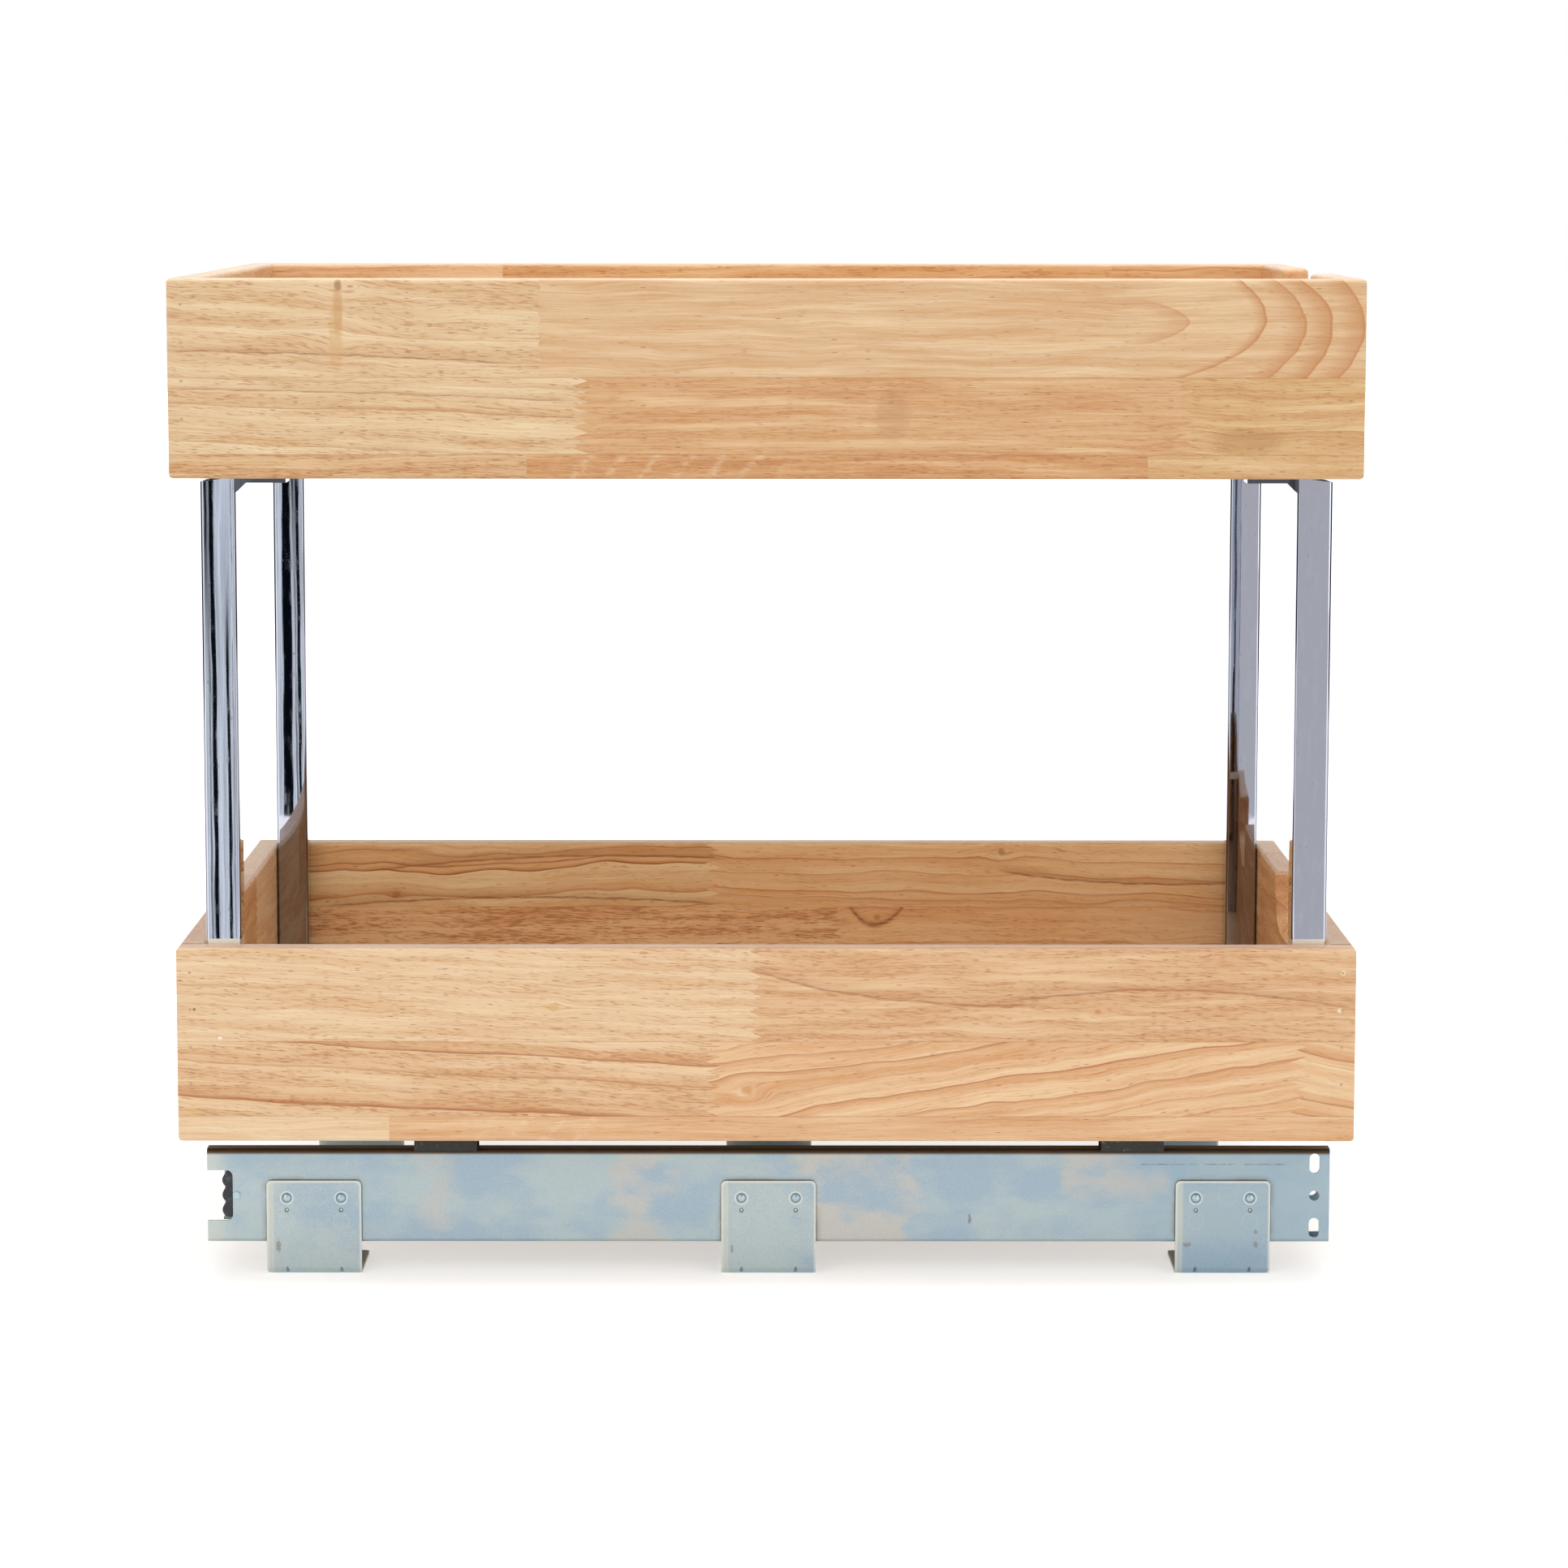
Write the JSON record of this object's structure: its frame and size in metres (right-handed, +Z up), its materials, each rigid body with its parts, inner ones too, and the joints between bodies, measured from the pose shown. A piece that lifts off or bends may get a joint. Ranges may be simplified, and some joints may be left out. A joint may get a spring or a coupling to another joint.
{
  "type": "pull-out cabinet organiser",
  "caption": "Two open wooden boxes, one above the other on chrome posts, on full-extension ball-bearing slides with floor brackets.",
  "frame": {"origin": "on the cabinet floor, under the middle of the boxes, with the boxes pushed in", "axes": "+X is the pull-out direction, +Y is the right-hand side for someone facing the cabinet, +Z is up"},
  "size_m": [0.533, 0.361, 0.4615],
  "materials": {
    "wall_wood": "clear satin lacquer on finger-jointed rubberwood",
    "floor_wood": "clear satin lacquer on plywood",
    "brad_steel": "bright wire, filled over",
    "screw_steel": "zinc plated",
    "chrome_post": "polished chrome plate",
    "zinc_steel": "blue passivated zinc plate",
    "bracket_steel": "blue passivated zinc plate",
    "carrier_steel": "dark zinc plate",
    "rivet_steel": "zinc plated",
    "cage_steel": "bare cold-rolled strip",
    "ball_steel": "polished bearing steel",
    "bumper_rubber": "black moulded rubber"
  },
  "bodies": {
    "cabinet_side": {"left_cabinet_member": "zinc_steel", "left_bumper": "bumper_rubber", "left_bumper_rivet": "rivet_steel", "left_bracket_rivets": "rivet_steel", "left_front_bracket": "bracket_steel", "left_mid_bracket": "bracket_steel", "left_rear_bracket": "bracket_steel", "right_cabinet_member": "zinc_steel", "right_bumper": "bumper_rubber", "right_bumper_rivet": "rivet_steel", "right_bracket_rivets": "rivet_steel", "right_front_bracket": "bracket_steel", "right_mid_bracket": "bracket_steel", "right_rear_bracket": "bracket_steel"},
    "carriage": {"lower_left_side": "wall_wood", "lower_right_side": "wall_wood", "lower_front": "wall_wood", "lower_back": "wall_wood", "lower_floor": "floor_wood", "lower_brads": "brad_steel", "lower_post_screws": "screw_steel", "upper_left_side": "wall_wood", "upper_right_side": "wall_wood", "upper_front": "wall_wood", "upper_back": "wall_wood", "upper_floor": "floor_wood", "upper_brads": "brad_steel", "upper_post_screws": "screw_steel", "post_front_left": "chrome_post", "post_front_right": "chrome_post", "post_rear_left": "chrome_post", "post_rear_right": "chrome_post", "left_drawer_member": "zinc_steel", "left_front_carrier": "carrier_steel", "left_rear_carrier": "carrier_steel", "left_carrier_rivets": "rivet_steel", "left_carrier_screws": "screw_steel", "right_drawer_member": "zinc_steel", "right_front_carrier": "carrier_steel", "right_rear_carrier": "carrier_steel", "right_carrier_rivets": "rivet_steel", "right_carrier_screws": "screw_steel"},
    "left_middle": {"left_middle_member": "zinc_steel"},
    "left_outer_bearing": {"left_outer_cage": "cage_steel", "left_outer_balls": "ball_steel"},
    "left_inner_bearing": {"left_inner_cage": "cage_steel", "left_inner_balls": "ball_steel"},
    "right_middle": {"right_middle_member": "zinc_steel"},
    "right_outer_bearing": {"right_outer_cage": "cage_steel", "right_outer_balls": "ball_steel"},
    "right_inner_bearing": {"right_inner_cage": "cage_steel", "right_inner_balls": "ball_steel"}
  },
  "joints": [
    {"name": "pull_out", "type": "slide", "parent": "cabinet_side", "child": "carriage", "axis": [1, 0, 0], "range_m": [0, 0.5]},
    {"name": "left_middle_run", "type": "slide", "parent": "cabinet_side", "child": "left_middle", "axis": [1, 0, 0], "range_m": [0, 0.25]},
    {"name": "left_outer_bearing_run", "type": "slide", "parent": "cabinet_side", "child": "left_outer_bearing", "axis": [1, 0, 0], "range_m": [0, 0.125]},
    {"name": "left_inner_bearing_run", "type": "slide", "parent": "cabinet_side", "child": "left_inner_bearing", "axis": [1, 0, 0], "range_m": [0, 0.375]},
    {"name": "right_middle_run", "type": "slide", "parent": "cabinet_side", "child": "right_middle", "axis": [1, 0, 0], "range_m": [0, 0.25]},
    {"name": "right_outer_bearing_run", "type": "slide", "parent": "cabinet_side", "child": "right_outer_bearing", "axis": [1, 0, 0], "range_m": [0, 0.125]},
    {"name": "right_inner_bearing_run", "type": "slide", "parent": "cabinet_side", "child": "right_inner_bearing", "axis": [1, 0, 0], "range_m": [0, 0.375]}
  ],
  "couplings": [
    {"joint": "left_middle_run", "follows": "pull_out", "ratio": 0.5},
    {"joint": "left_outer_bearing_run", "follows": "pull_out", "ratio": 0.25},
    {"joint": "left_inner_bearing_run", "follows": "pull_out", "ratio": 0.75},
    {"joint": "right_middle_run", "follows": "pull_out", "ratio": 0.5},
    {"joint": "right_outer_bearing_run", "follows": "pull_out", "ratio": 0.25},
    {"joint": "right_inner_bearing_run", "follows": "pull_out", "ratio": 0.75}
  ]
}
